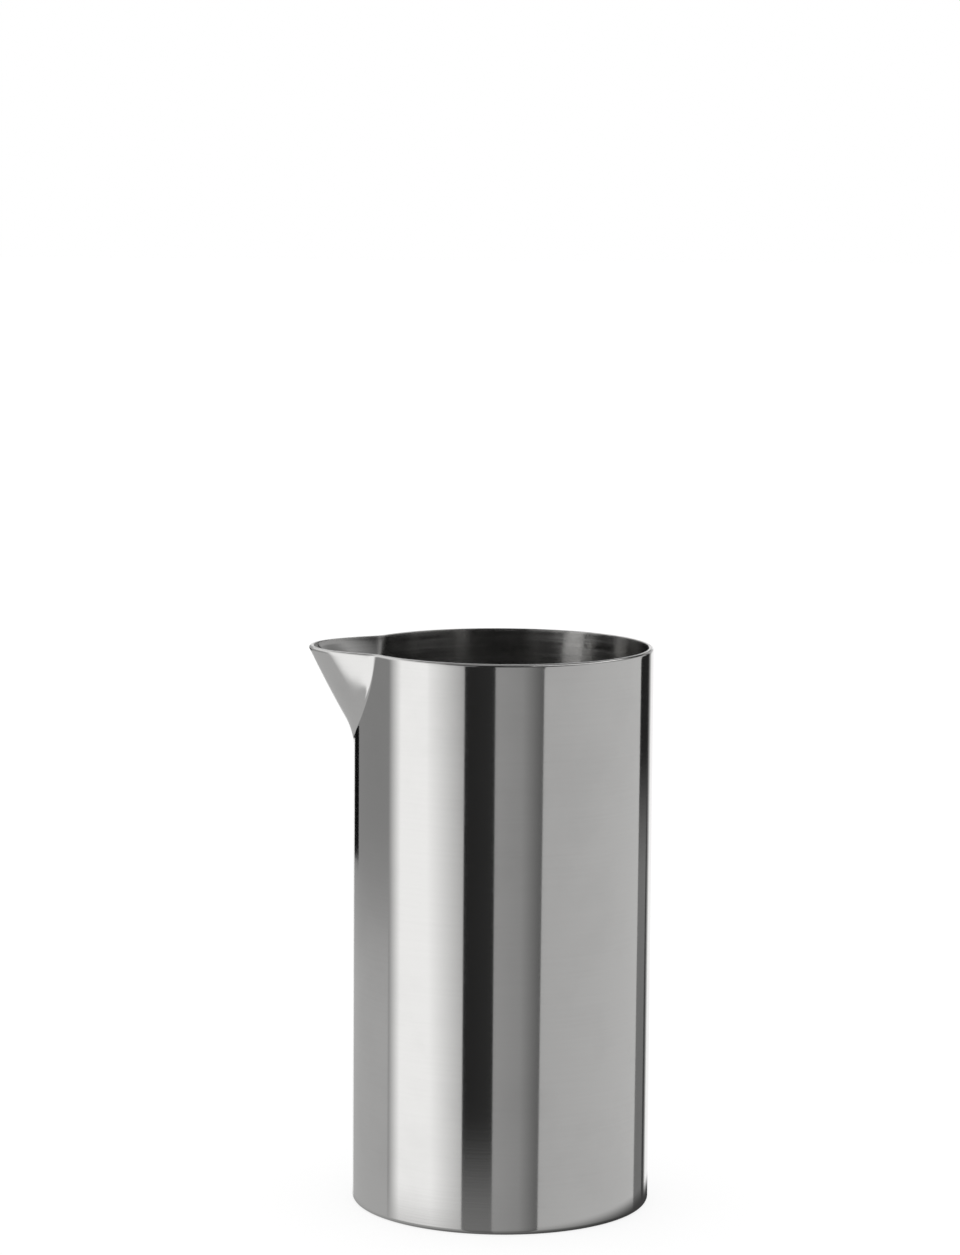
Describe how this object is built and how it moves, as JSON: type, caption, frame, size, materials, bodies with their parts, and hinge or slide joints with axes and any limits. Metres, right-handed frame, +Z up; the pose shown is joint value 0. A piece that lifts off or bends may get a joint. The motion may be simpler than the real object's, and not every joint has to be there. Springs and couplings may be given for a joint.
{
  "type": "milk jug",
  "caption": "Small straight cylindrical stainless-steel milk jug, open at the top, with a pouring spout pressed out of its rim and no handle.",
  "frame": {"origin": "centre of the base's flat underside, on the jug's axis", "axes": "+Z up along the jug's axis, -X towards the tip of the spout, +Y to its right seen from behind the spout"},
  "size_m": [0.0575, 0.05, 0.094],
  "materials": {
    "wall_steel": "satin polish outside with very fine lines, brushed round the inside",
    "base_steel": "satin polish on the side and corner, turned lines on the floor and underside",
    "weld_steel": "ground flush and polished with the wall"
  },
  "bodies": {
    "root": {"wall_tube": "wall_steel", "base_cup": "base_steel", "weld_ring": "weld_steel"}
  },
  "joints": []
}
